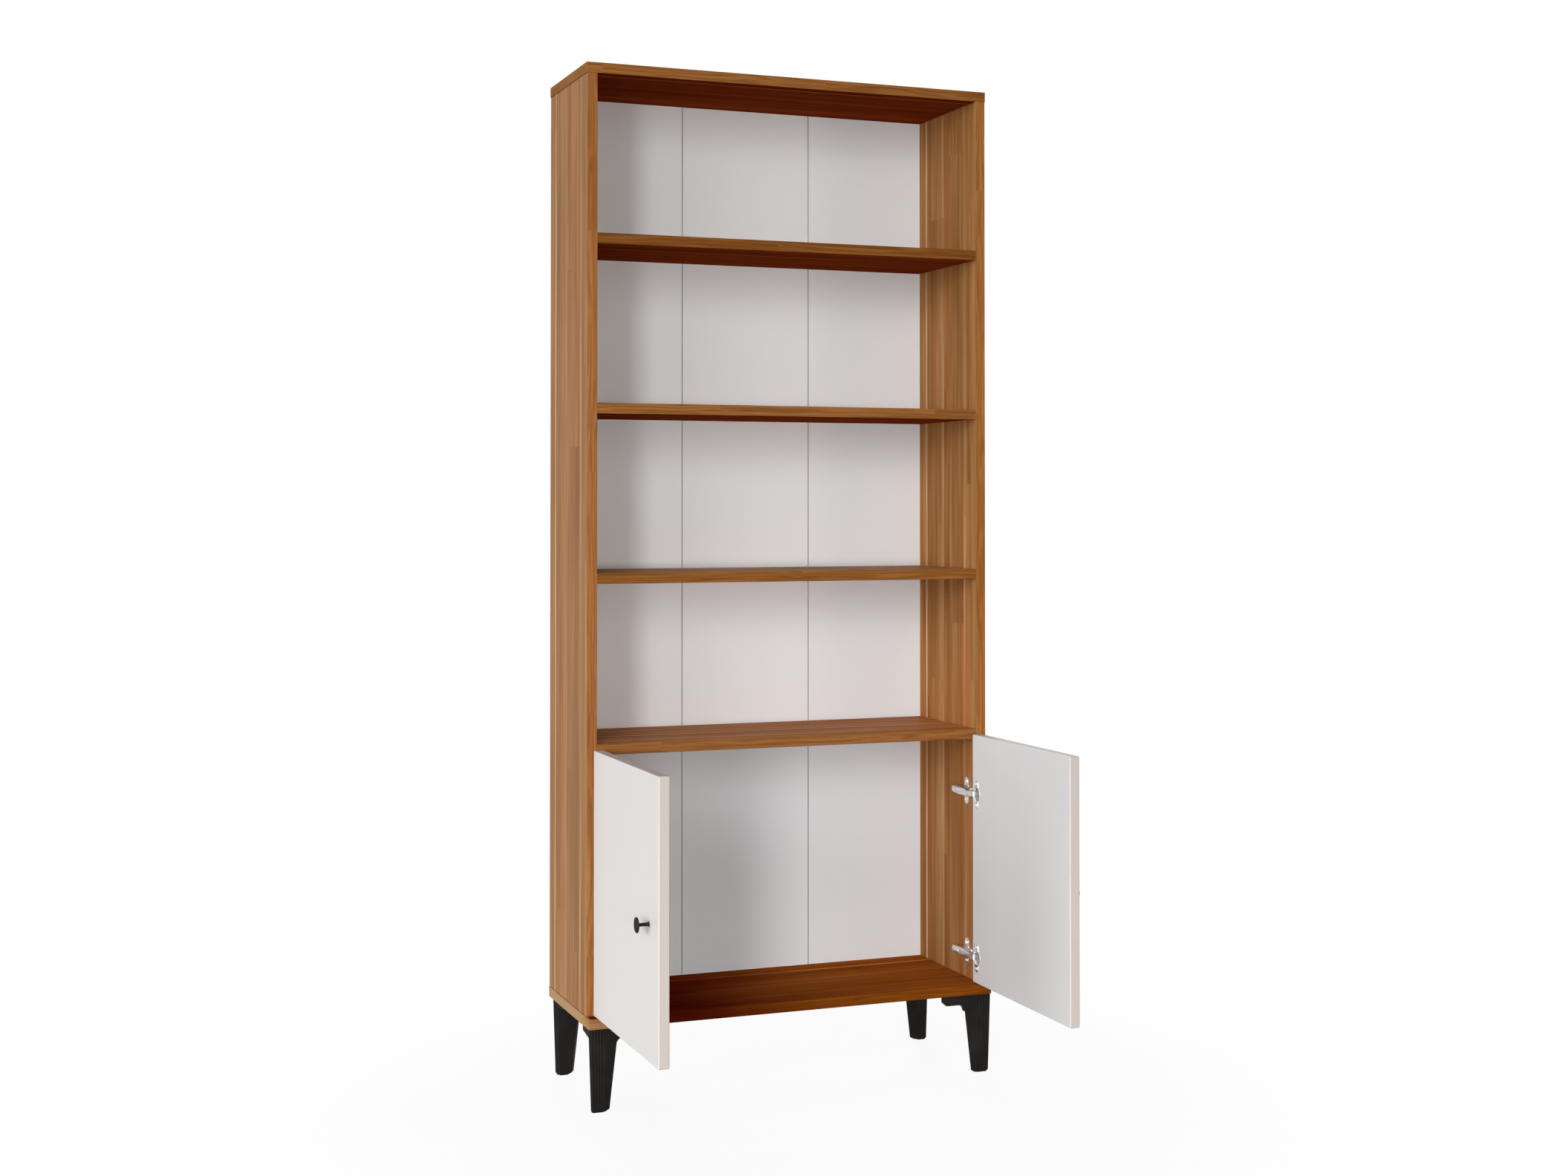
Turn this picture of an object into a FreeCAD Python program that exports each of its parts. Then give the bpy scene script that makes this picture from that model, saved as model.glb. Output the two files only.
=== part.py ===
import FreeCAD, Part
import math
import operator
import os

from FreeCAD import Rotation, Vector

# Bookcase with four open bays over a two-door cabinet, on four moulded legs.
# Millimetres, +Z up, front towards -Y. The origin is on the floor, under the middle of the
# whole object as it stands with both doors open at a right angle.

doc = FreeCAD.newDocument("Bookcase")
sheet = doc.addObject("Spreadsheet::Sheet", "Sizes")

driving_sizes = (
    # Case boards
    ("case_width", 750, "over the two side boards"),
    ("board_thick", 18, "every board of the case"),
    ("board_round", 0.6, "softened edges of the boards"),
    ("side_depth", 245, "side boards, shelves and top, front to back"),
    ("cap_overhang", 1, "top and bottom boards past each side board"),
    ("leg_height", 140, "floor to the underside of the bottom board"),
    ("cabinet_clear", 440, "clear height behind the doors"),
    ("shelf_clear", 272, "clear height of each open bay"),
    # Back
    ("back_thick", 3, "back sheet"),
    ("back_inset", 4, "back sheet inside the outline of the case"),
    ("back_third", 250, "middle back sheet, joint to joint"),
    ("back_parting", 1.2, "open joint between two back sheets"),
    ("tape_thick", 0.3, "tape over a back joint"),
    ("tape_width", 30, "tape over a back joint"),
    # Doors
    ("door_thick", 18, "door board"),
    ("door_round", 2, "rounded edges of a door"),
    ("door_gap", 2.5, "front of the sides to the back of a closed door"),
    ("door_reveal", 9, "side board left bare beside a closed door"),
    ("door_parting", 3, "between the two closed doors"),
    ("door_lift", 2, "door above the bottom board"),
    ("door_drop", 9, "door below the top of the cabinet shelf"),
    # Hinges
    ("hinge_low", 46, "lower hinge above the bottom edge of the door"),
    ("hinge_high", 107, "upper hinge below the top edge of the door"),
    ("pin_radius", 1.25, "hinge pin"),
    ("pin_fit", 0.05, "pin in the eye of the arm, on the radius"),
    ("pin_depth", 11.5, "pin below the inner face of the door"),
    ("eye_radius", 2.4, "rolled eye of the arm"),
    ("eye_play", 0.35, "eye to the cup around it"),
    ("cup_radius", 13, "hinge cup"),
    ("cup_wall", 0.8, "hinge cup"),
    ("cup_floor", 0.6, "hinge cup"),
    ("cup_tab", 4, "door edge to the cup"),
    ("cheek_thick", 2, "cheeks in the cup that hold the pin"),
    ("cup_fit", 0.1, "cup in its pocket"),
    ("rim_width", 1, "rim of the cup on the door"),
    ("flange_thick", 1, "flange and rim of the cup"),
    ("flange_width", 14, "flange of the cup"),
    ("flange_land", 6, "flange screw to the cup and to the flange end"),
    ("tongue_width", 9, "narrow front of the arm"),
    ("arm_thick", 1.6, "sheet of the arm"),
    ("arm_play", 1.5, "arm to the flange of an open door"),
    ("arm_width", 15, "body of the arm"),
    ("arm_wall", 8, "folded walls of the arm"),
    ("arm_front", 4, "front of the side board to the arm body"),
    ("arm_length", 69, "arm body"),
    ("plate_thick", 2.5, "mounting plate"),
    ("plate_width", 16, "mounting plate"),
    ("plate_setback", 37, "front of the side board to the plate screws"),
    ("plate_before", 13, "plate in front of its screws"),
    ("plate_behind", 25, "plate behind its screws"),
    ("plate_pitch", 32, "between the two plate screws"),
    ("wing_width", 14, "wings of the plate"),
    ("wing_land", 9, "plate screw to the end of the wing"),
    ("rail_width", 11, "raised rail of the plate"),
    ("rail_inset", 4, "rail inside each end of the plate"),
    ("rail_screw", 9, "rail screw behind the plate screws"),
    ("rail_pitch", 10, "between the two rail screws"),
    # Screws, pins and dowels
    ("screw_radius", 1.75, "hinge and leg screws"),
    ("screw_head", 3.2, "screw head, radius"),
    ("head_thick", 1.4, "screw head"),
    ("screw_bite", 12, "screw in the wood"),
    ("rail_bite", 6, "rail screw in the rail"),
    ("dowel_radius", 4, "wooden dowel"),
    ("dowel_length", 30, "wooden dowel"),
    ("bolt_radius", 3, "connecting bolt"),
    ("bolt_bite", 11, "connecting bolt in the side board"),
    ("cam_radius", 7.5, "connecting cam"),
    ("cam_depth", 12.5, "connecting cam"),
    ("cam_setback", 34, "end of the shelf to the cam"),
    ("bolt_setback", 37, "board edge to the first connecting bolt"),
    ("dowel_setback", 69, "board edge to the first dowel"),
    ("tie_radius", 3.5, "long tie screw"),
    ("tie_length", 50, "long tie screw"),
    ("tie_head", 5, "long tie screw head, radius"),
    ("tie_head_thick", 4, "long tie screw head"),
    ("tie_setback", 80, "board edge to the first tie screw"),
    ("nail_radius", 0.9, "back nail"),
    ("nail_length", 16, "back nail"),
    ("nail_head", 2.2, "back nail head, radius"),
    ("nail_head_thick", 0.8, "back nail head"),
    # Knobs
    ("knob_edge", 50, "free edge of the door to the knob"),
    ("knob_rise", 213, "bottom edge of the door to the knob"),
    ("knob_head", 12.5, "disc of the knob, radius"),
    ("knob_disc", 3.2, "disc of the knob, thickness"),
    ("disc_round", 1, "rounded edges of the disc"),
    ("knob_throat", 3.6, "taper under the disc"),
    ("knob_neck", 6.2, "taper where it meets the disc, radius"),
    ("knob_reach", 21, "door face to the front of the knob"),
    ("knob_stem", 2.75, "stem of the knob, radius"),
    ("knob_foot", 4.5, "foot of the knob, radius"),
    ("knob_flare", 3.2, "flare of the foot"),
    ("stud_radius", 2, "threaded stud"),
    ("stud_bite", 12, "stud in the door, and in the knob"),
    # Legs
    ("leg_inset", 0.5, "leg top inside the bottom board"),
    ("rear_leg_inset", 6, "rear legs further in than the front legs"),
    ("leg_top", 53, "leg width at the top"),
    ("leg_top_flat", 27, "front of the leg at the top, up to the inner bevel"),
    ("leg_depth", 18, "leg front to back"),
    ("leg_round", 4.5, "outer front corner of the leg"),
    ("leg_fall", 6, "front of the leg drawn back across the inner bevel"),
    ("leg_draft", 4.5, "outer side of the leg drawn in towards its back"),
    ("leg_flank", 7, "inner side of the leg drawn in towards its back"),
    ("leg_lean", 4.5, "outer side of the leg drawn in at the foot"),
    ("leg_foot", 33, "leg width at the foot"),
    ("leg_foot_flat", 22.5, "front of the leg at the foot, up to the inner bevel"),
    ("foot_bevel", 2.5, "bevel round the foot"),
    ("foot_rise", 4, "height of the bevel round the foot"),
    ("foot_heel", 7, "inner end of the foot cut back by the bevel"),
    ("flute_share", 0.19, "depth of a flute as a share of its width"),
    ("lug_thick", 11, "screw lugs of the leg"),
    ("lug_reach", 38, "screw lugs beyond the leg"),
    ("lug_root", 18, "screw lug height at the leg"),
    ("lug_tip", 12, "screw lug height at its end"),
    ("lug_gusset", 12, "hollow curve under the root of the side lug"),
    ("lug_hole", 12, "end of a lug to its screw"),
    ("lug_web", 5, "lug left above the screw head"),
    ("lug_bore", 4, "counterbore for the screw head, radius"),
)
front_flutes = 4
bevel_flutes = 6
open_bays = 4
side_nails = 9
board_nails = 4

for row, (alias, value, meaning) in enumerate(driving_sizes, start=1):
    sheet.set(f"A{row}", str(value))
    sheet.setAlias(f"A{row}", alias)
    sheet.set(f"B{row}", meaning)
doc.recompute()


class Dim:
    """A length that is both a sheet expression, for binding, and its present number."""

    def __init__(self, text, number):
        self.text = text
        self.number = number

    def __add__(self, other):
        return combine(self, "+", other)

    def __radd__(self, other):
        return combine(other, "+", self)

    def __sub__(self, other):
        return combine(self, "-", other)

    def __rsub__(self, other):
        return combine(other, "-", self)

    def __mul__(self, other):
        return combine(self, "*", other)

    def __rmul__(self, other):
        return combine(other, "*", self)

    def __truediv__(self, other):
        return combine(self, "/", other)

    def __neg__(self):
        return combine(0, "-", self)

    def __float__(self):
        return self.number


arithmetic = {"+": operator.add, "-": operator.sub, "*": operator.mul, "/": operator.truediv}


def as_dim(value):
    return value if isinstance(value, Dim) else Dim(str(value), float(value))


def combine(first, sign, second):
    first = as_dim(first)
    second = as_dim(second)
    return Dim(f"({first.text} {sign} {second.text})", arithmetic[sign](first.number, second.number))


def root(dim):
    return Dim(f"sqrt({dim.text})", math.sqrt(dim.number))


class Sizes:
    """The driving sizes by name."""


size = Sizes()
for alias, value, meaning in driving_sizes:
    setattr(size, alias, Dim(f"Sizes.{alias}", float(sheet.get(alias))))


# Places worked out from the driving sizes

half_width = size.case_width / 2
inner_x = half_width - size.board_thick
cap_x = half_width + size.cap_overhang

door_width = half_width - size.door_reveal - size.door_parting / 2
cup_centre = size.cup_tab + size.cup_radius
cup_inner = size.cup_radius - size.cup_wall
eye_chord = root(cup_inner * cup_inner - size.tongue_width * size.tongue_width / 4)
pin_edge = cup_centre - eye_chord + size.eye_radius + size.eye_play
cup_hollow = size.pin_depth + size.eye_radius + size.eye_play
cup_depth = cup_hollow + size.cup_floor
pin_stand = size.door_gap + size.pin_depth
cheek_in = size.tongue_width / 2 + size.eye_play
pin_half = cheek_in + size.cheek_thick

door_reach = pin_stand + door_width - pin_edge
rear_reach = size.side_depth + size.back_thick + size.nail_head_thick
front_y = (door_reach - rear_reach) / 2
back_y = front_y + size.side_depth
base_front_y = front_y - size.door_gap - size.door_thick

base_z = size.leg_height
floor_z = base_z + size.board_thick
shelf_z = [floor_z + size.cabinet_clear + (size.shelf_clear + size.board_thick) * level
           for level in range(open_bays)]
top_z = shelf_z[-1] + size.board_thick + size.shelf_clear
crown_z = top_z + size.board_thick

door_low_z = floor_z + size.door_lift
door_high_z = shelf_z[0] + size.board_thick - size.door_drop
hinge_z = {"lower": door_low_z + size.hinge_low, "upper": door_high_z - size.hinge_high}

pin_x = -half_width + size.door_reveal + pin_edge
pin_y = front_y - pin_stand
door_inner_x = pin_x + size.pin_depth
door_outer_x = door_inner_x - size.door_thick
door_hinge_y = pin_y + pin_edge
door_free_y = door_hinge_y - door_width
cup_y = door_hinge_y - cup_centre
cup_pitch = (size.cup_radius + size.flange_land) * 2
web_x = door_inner_x + size.flange_thick + size.arm_play
plate_y = front_y + size.plate_setback
knob_y = door_free_y + size.knob_edge
knob_z = door_low_z + size.knob_rise

along_x = Vector(1, 0, 0)
along_y = Vector(0, 1, 0)
along_z = Vector(0, 0, 1)


# Building blocks

def block(name, x, y, z):
    """A box between two corners."""
    box = doc.addObject("Part::Box", name)
    for extent, axis, (low, high) in zip(("Length", "Width", "Height"), "xyz", (x, y, z)):
        box.setExpression(extent, (high - low).text)
        box.setExpression(f"Placement.Base.{axis}", as_dim(low).text)
    return box


def place(solid, start, direction):
    """Stand a round solid on its start point, along a direction."""
    solid.Placement.Rotation = Rotation(along_z, direction)
    for axis, value in zip("xyz", start):
        solid.setExpression(f"Placement.Base.{axis}", as_dim(value).text)
    return solid


def rod(name, start, direction, radius, length):
    cylinder = doc.addObject("Part::Cylinder", name)
    cylinder.setExpression("Radius", radius.text)
    cylinder.setExpression("Height", length.text)
    return place(cylinder, start, direction)


def taper(name, start, direction, near, far, length):
    cone = doc.addObject("Part::Cone", name)
    cone.setExpression("Radius1", near.text)
    cone.setExpression("Radius2", far.text)
    cone.setExpression("Height", length.text)
    return place(cone, start, direction)


box_edges = range(1, 13)
round_rims = (1, 3)


def rounded(name, base, radius, edges=box_edges):
    """Round the edges of a box, or the two rims of a round solid."""
    fillet = doc.addObject("Part::Fillet", name)
    fillet.Base = base
    fillet.Edges = [(edge, radius.number, radius.number) for edge in edges]
    return fillet


def joined(name, solids):
    fuse = doc.addObject("Part::MultiFuse", name)
    fuse.Shapes = solids
    return fuse


def together(name, solids):
    compound = doc.addObject("Part::Compound", name)
    compound.Links = solids
    return compound


def cut(name, base, tool):
    difference = doc.addObject("Part::Cut", name)
    difference.Base = base
    difference.Tool = tool
    return difference


def mirrored(name, source, normal, through):
    mirror = doc.addObject("Part::Mirroring", name)
    mirror.Source = source
    mirror.Normal = normal
    mirror.Base = through
    return mirror


def point(x, y, z):
    return Vector(float(x), float(y), float(z))


def pin_shape(start, direction, radius, length, head_radius=None, head_length=None):
    """A round pin from its start, with a head that stands out behind the start."""
    pin = Part.makeCylinder(float(radius), float(length), start, direction)
    if head_radius is None:
        return pin
    head = Part.makeCylinder(float(head_radius), float(head_length), start, direction * -1)
    return pin.fuse(head).removeSplitter()


def fasteners(name, solids):
    """Loose solids of one kind, kept together as one piece."""
    feature = doc.addObject("Part::Feature", name)
    feature.Shape = Part.makeCompound(solids)
    return feature


pieces = {}


def piece(name, solid):
    """Name a finished piece."""
    solid.Label = name
    pieces[name] = solid
    return solid


def both_ways(distance, span_low, span_high):
    """Two places, each the same distance inside one end of a span."""
    return (span_low + distance, span_high - distance)


# Fasteners of the case

bolts = []
cams = []
dowels = []
for level, z in enumerate(shelf_z):
    middle_z = z + size.board_thick / 2
    cam_down = level < open_bays / 2
    cam_start_z = z if cam_down else z + size.board_thick
    for side in (-1, 1):
        outward = along_x * side
        for y in both_ways(size.bolt_setback, front_y, back_y):
            bolts.append(pin_shape(point(side * (inner_x - size.cam_setback), y, middle_z), outward,
                                   size.bolt_radius, size.cam_setback + size.bolt_bite))
            cams.append(pin_shape(point(side * (inner_x - size.cam_setback), y, cam_start_z),
                                  along_z if cam_down else -along_z, size.cam_radius, size.cam_depth))
        dowel_x = side * (inner_x + size.bolt_bite - size.dowel_length)
        for y in both_ways(size.dowel_setback, front_y, back_y):
            dowels.append(pin_shape(point(dowel_x, y, middle_z), outward,
                                    size.dowel_radius, size.dowel_length))

ties = []
for side in (-1, 1):
    tie_x = side * (half_width - size.board_thick / 2)
    for y in both_ways(size.tie_setback, front_y, back_y):
        for z, direction in ((base_z, along_z), (crown_z, -along_z)):
            head_seat = point(tie_x, y, z) + direction * size.tie_head_thick.number
            ties.append(pin_shape(head_seat, direction, size.tie_radius, size.tie_length,
                                  size.tie_head, size.tie_head_thick))
    for z in (floor_z, top_z):
        dowels.append(pin_shape(point(tie_x, (front_y + back_y) / 2, z - size.dowel_length / 2), along_z,
                                size.dowel_radius, size.dowel_length))

nails = []
nail_y = back_y + size.back_thick


def nail_at(x, z):
    return pin_shape(point(x, nail_y, z), -along_y, size.nail_radius, size.nail_length,
                     size.nail_head, size.nail_head_thick)


for side in (-1, 1):
    for step in range(side_nails):
        nail_z = floor_z + (top_z - floor_z) * (step + 0.5) / side_nails
        nails.append(nail_at(side * (half_width - size.board_thick / 2), nail_z))
for z in [base_z] + shelf_z + [top_z]:
    for step in range(board_nails):
        nail_x = size.back_third * (step - (board_nails - 1) / 2) / 2
        nails.append(nail_at(nail_x, z + size.board_thick / 2))

plate_screws = []
rail_screws = []
cup_screws = {"left": [], "right": []}
for side, hand in ((-1, "left"), (1, "right")):
    for z in hinge_z.values():
        for step in (-1, 1):
            plate_screws.append(pin_shape(
                point(side * (inner_x - size.plate_thick), plate_y, z + size.plate_pitch * step / 2),
                along_x * side, size.screw_radius, size.plate_thick + size.screw_bite,
                size.screw_head, size.head_thick))
            cup_screws[hand].append(pin_shape(
                point(-side * (door_inner_x + size.flange_thick), cup_y, z + cup_pitch * step / 2),
                along_x * side, size.screw_radius, size.flange_thick + size.screw_bite,
                size.screw_head, size.head_thick))
        for step in (0, 1):
            rail_y = plate_y + size.rail_screw + size.rail_pitch * step
            rail_screws.append(pin_shape(
                point(-side * (web_x + size.arm_thick), rail_y, z),
                along_x * side, size.screw_radius, size.arm_thick + size.rail_bite,
                size.screw_head, size.head_thick))

piece("cam_bolts", fasteners("Bolts", bolts))
piece("wooden_dowels", fasteners("Dowels", dowels))
piece("tie_screws", fasteners("Ties", ties))
piece("back_nails", fasteners("Nails", nails))
piece("hinge_plate_screws", fasteners("PlateScrews", plate_screws))
piece("hinge_rail_screws", fasteners("RailScrews", rail_screws))
piece("left_cup_screws", fasteners("LeftCupScrews", cup_screws["left"]))
piece("right_cup_screws", fasteners("RightCupScrews", cup_screws["right"]))
raw_cams = fasteners("CamBlanks", cams)
piece("cam_locks", cut("Cams", raw_cams, pieces["cam_bolts"]))


# Legs: a tapered corner leg with a fluted front and two screw lugs

corner_x = -cap_x
lug_screws = []


def fluted(start, end, count, inward):
    """A straight run of the outline broken into shallow flutes."""
    step = (end - start) / count
    sink = inward * step.Length * size.flute_share.number
    edges = []
    for index in range(count):
        near = start + step * index
        far = start + step * (index + 1)
        edges.append(Part.Arc(near, (near + far) / 2 + sink, far).toShape())
    return edges


def leg_section(z, outer, width, flat, bevel, heel):
    """Outline of the leg at a height: round corner, fluted front and inner bevel, plain back."""
    side_x = corner_x + size.leg_inset + outer
    outer_x = side_x + bevel
    inner_end = side_x + width - heel
    front = leg_front + bevel
    back = leg_front + size.leg_depth - bevel
    soften = size.leg_round * (1 - math.sqrt(0.5))
    side_start = point(outer_x, front + size.leg_round, z)
    side_middle = point(outer_x + soften, front + soften, z)
    front_start = point(outer_x + size.leg_round, front, z)
    front_end = point(side_x + flat - bevel, front, z)
    bevel_end = point(inner_end, leg_front + size.leg_fall, z)
    back_inner = point(inner_end - size.leg_flank, back, z)
    back_outer = point(outer_x + size.leg_draft, back, z)
    bevel_in = along_z.cross(bevel_end - front_end).normalize()
    edges = [Part.Arc(side_start, side_middle, front_start).toShape()]
    edges += fluted(front_start, front_end, front_flutes, along_y)
    edges += fluted(front_end, bevel_end, bevel_flutes, bevel_in)
    edges += [Part.makeLine(near, far) for near, far in (
        (bevel_end, back_inner), (back_inner, back_outer), (back_outer, side_start))]
    return Part.Wire(edges)


def prism(edges, push):
    return Part.Face(Part.Wire(edges)).extrude(push)


def straight_run(corners):
    return [Part.makeLine(near, far) for near, far in zip(corners, corners[1:])]


leg_front = base_front_y + size.leg_inset
zero = as_dim(0)
foot_shape = (size.leg_lean, size.leg_foot, size.leg_foot_flat)
leg_shape = Part.makeLoft([
    leg_section(zero, *foot_shape, size.foot_bevel, size.foot_heel),
    leg_section(size.foot_rise, *foot_shape, zero, zero),
    leg_section(base_z, zero, size.leg_top, size.leg_top_flat, zero, zero),
], True, True)

lug_x = corner_x + size.leg_inset + size.leg_draft
lug_y = leg_front + size.leg_fall
lug_low_z = base_z - size.lug_root
lug_tip_z = base_z - size.lug_tip
lug_root_y = leg_front + size.leg_depth
lug_end_y = lug_root_y + size.lug_reach
back_lug = prism(straight_run([
    point(lug_x, lug_y, base_z),
    point(lug_x, lug_y, lug_low_z),
    point(lug_x, lug_root_y, lug_low_z),
    point(lug_x, lug_end_y, lug_tip_z),
    point(lug_x, lug_end_y, base_z),
    point(lug_x, lug_y, base_z),
]), along_x * size.lug_thick.number)

leg_slope = (size.leg_top - size.leg_foot - size.leg_lean) / (base_z - size.foot_rise)
lug_top_x = corner_x + size.leg_inset + size.leg_top
lug_start_x = lug_top_x - size.leg_top / 2
lug_end_x = lug_top_x + size.lug_reach
gusset_x = lug_top_x - leg_slope * (size.lug_root + size.lug_gusset)
gusset_z = lug_low_z - size.lug_gusset
gusset_bow = size.lug_gusset * math.sqrt(0.5)
gusset = Part.Arc(point(gusset_x, lug_y, gusset_z),
                  point(gusset_x + size.lug_gusset - gusset_bow, lug_y, gusset_z + gusset_bow),
                  point(gusset_x + size.lug_gusset, lug_y, lug_low_z)).toShape()
side_lug = prism([gusset] + straight_run([
    point(gusset_x + size.lug_gusset, lug_y, lug_low_z),
    point(lug_end_x - size.lug_root + size.lug_tip, lug_y, lug_low_z),
    point(lug_end_x, lug_y, lug_tip_z),
    point(lug_end_x, lug_y, base_z),
    point(lug_start_x, lug_y, base_z),
    point(lug_start_x, lug_y, gusset_z),
    point(gusset_x, lug_y, gusset_z),
]), along_y * size.lug_thick.number)
leg_shape = leg_shape.fuse([back_lug, side_lug])

back_hole = (lug_x + size.lug_thick / 2, lug_end_y - size.lug_hole)
side_hole = (lug_end_x - size.lug_hole, lug_y + size.lug_thick / 2)
for x, y in (back_hole, side_hole):
    seat_z = base_z - size.lug_web
    bore = Part.makeCylinder(size.lug_bore.number, size.lug_root.number, point(x, y, seat_z), -along_z)
    screw = pin_shape(point(x, y, seat_z), along_z, size.screw_radius, size.lug_web + size.screw_bite,
                      size.screw_head, size.head_thick)
    leg_shape = leg_shape.cut([bore, screw])
    lug_screws.append(screw)

leg_middle = point(0, (base_front_y + back_y) / 2, 0)
rear_shift = along_x * size.rear_leg_inset.number


def at_rear(shape):
    """The same shape at the rear of the case."""
    return shape.mirror(leg_middle, along_y).translated(rear_shift)


front_leg_shape = leg_shape.removeSplitter()
for depth, shape in (("front", front_leg_shape), ("rear", at_rear(front_leg_shape))):
    left_leg = doc.addObject("Part::Feature", f"{depth}_left_leg")
    left_leg.Shape = shape
    piece(f"{depth}_left_leg", left_leg)
    piece(f"{depth}_right_leg", mirrored(f"{depth}_right_leg", left_leg, along_x, leg_middle))

leg_screws = lug_screws + [at_rear(screw) for screw in lug_screws]
leg_screws += [screw.mirror(leg_middle, along_x) for screw in leg_screws]
piece("leg_screws", fasteners("LegScrews", leg_screws))


# Case boards, drilled by their fasteners

drilling = together("CaseDrilling", [
    pieces["cam_bolts"], raw_cams, pieces["wooden_dowels"], pieces["tie_screws"],
    pieces["back_nails"], pieces["hinge_plate_screws"], pieces["leg_screws"]])


def board(name, x, y, z):
    blank = rounded(f"{name}_rounded", block(f"{name}_blank", x, y, z), size.board_round)
    return piece(name, cut(f"{name}_drilled", blank, drilling))


case_y = (front_y, back_y)
board("left_side", (-half_width, -inner_x), case_y, (floor_z, top_z))
board("right_side", (inner_x, half_width), case_y, (floor_z, top_z))
board("top_panel", (-cap_x, cap_x), case_y, (top_z, crown_z))
board("bottom_panel", (-cap_x, cap_x), (base_front_y, back_y), (base_z, floor_z))
shelf_names = ("cabinet_shelf", "lower_shelf", "middle_shelf", "upper_shelf")
for name, z in zip(shelf_names, shelf_z):
    board(name, (-inner_x, inner_x), case_y, (z, z + size.board_thick))


# Back: three thin sheets with taped joints, nailed to the rear edges of the case

sheet_y = (back_y, nail_y)
sheet_z = (base_z + size.back_inset, crown_z - size.back_inset)
joint_x = size.back_third / 2
half_parting = size.back_parting / 2
back_edge = half_width - size.back_inset
for name, x in (("back_left", (-back_edge, -joint_x - half_parting)),
                ("back_middle", (-joint_x + half_parting, joint_x - half_parting)),
                ("back_right", (joint_x + half_parting, back_edge))):
    piece(name, cut(f"{name}_nailed", block(f"{name}_blank", x, sheet_y, sheet_z), pieces["back_nails"]))

tapes = [block(f"Tape{index}", (side * joint_x - size.tape_width / 2, side * joint_x + size.tape_width / 2),
               (nail_y, nail_y + size.tape_thick), sheet_z)
         for index, side in enumerate((-1, 1))]
piece("back_joint_tapes", together("Tapes", tapes))


# Hinges: a cup in the door, a pin across it, and an arm that hooks round the pin

def hinge_cup(name, z):
    inward = -along_x
    face = door_inner_x + size.flange_thick
    rim = rod(f"{name}_rim", (face, cup_y, z), inward, size.cup_radius + size.rim_width, size.flange_thick)
    bowl = rod(f"{name}_bowl", (face, cup_y, z), inward, size.cup_radius, size.flange_thick + cup_depth)
    flange = block(f"{name}_flange", (door_inner_x, face),
                   (cup_y - size.flange_width / 2, cup_y + size.flange_width / 2),
                   (z - cup_pitch / 2, z + cup_pitch / 2))
    ends = [rod(f"{name}_end{step}", (face, cup_y, z + cup_pitch * step / 2), inward,
                size.flange_width / 2, size.flange_thick) for step in (-1, 1)]
    solid = joined(f"{name}_solid", [rim, bowl, flange] + ends)
    room = rod(f"{name}_room", (face, cup_y, z), inward, cup_inner, size.flange_thick + cup_hollow)
    cheeks = [block(f"{name}_cheek{index}", (pin_x - cup_hollow, pin_x + size.eye_radius),
                    (pin_y - size.eye_radius, pin_y + size.eye_radius), cheek_z)
              for index, cheek_z in enumerate(((z - pin_half, z - cheek_in), (z + cheek_in, z + pin_half)))]
    hollow = cut(f"{name}_hollow", room, together(f"{name}_cheeks", cheeks))
    holes = together(f"{name}_holes", [hollow, pieces["left_hinge_pins"], pieces["left_cup_screws"]])
    return cut(f"{name}_finished", solid, holes)


def hinge_arm(name, z):
    sheet_x = (web_x, web_x + size.arm_thick)
    tongue_z = (z - size.tongue_width / 2, z + size.tongue_width / 2)
    hook_y = (pin_y - size.arm_thick / 2, pin_y + size.arm_thick / 2)
    arm_y = (front_y + size.arm_front, front_y + size.arm_front + size.arm_length)
    half_arm = size.arm_width / 2
    eye = rod(f"{name}_eye", (pin_x, pin_y, tongue_z[0]), along_z, size.eye_radius, size.tongue_width)
    hook = block(f"{name}_hook", (pin_x, sheet_x[1]), hook_y, tongue_z)
    tongue = block(f"{name}_tongue", sheet_x, (hook_y[0], arm_y[0]), tongue_z)
    web = block(f"{name}_web", sheet_x, arm_y, (z - half_arm, z + half_arm))
    walls = [block(f"{name}_wall{index}", (web_x - size.arm_wall, sheet_x[1]), arm_y, wall_z)
             for index, wall_z in enumerate(((z - half_arm, z - half_arm + size.arm_thick),
                                             (z + half_arm - size.arm_thick, z + half_arm)))]
    solid = joined(f"{name}_solid", [eye, hook, tongue, web] + walls)
    pivot = rod(f"{name}_pivot", (pin_x, pin_y, tongue_z[0]), along_z,
                size.pin_radius + size.pin_fit, size.tongue_width)
    holes = together(f"{name}_holes", [pivot, pieces["hinge_rail_screws"]])
    return cut(f"{name}_finished", solid, holes)


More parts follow.
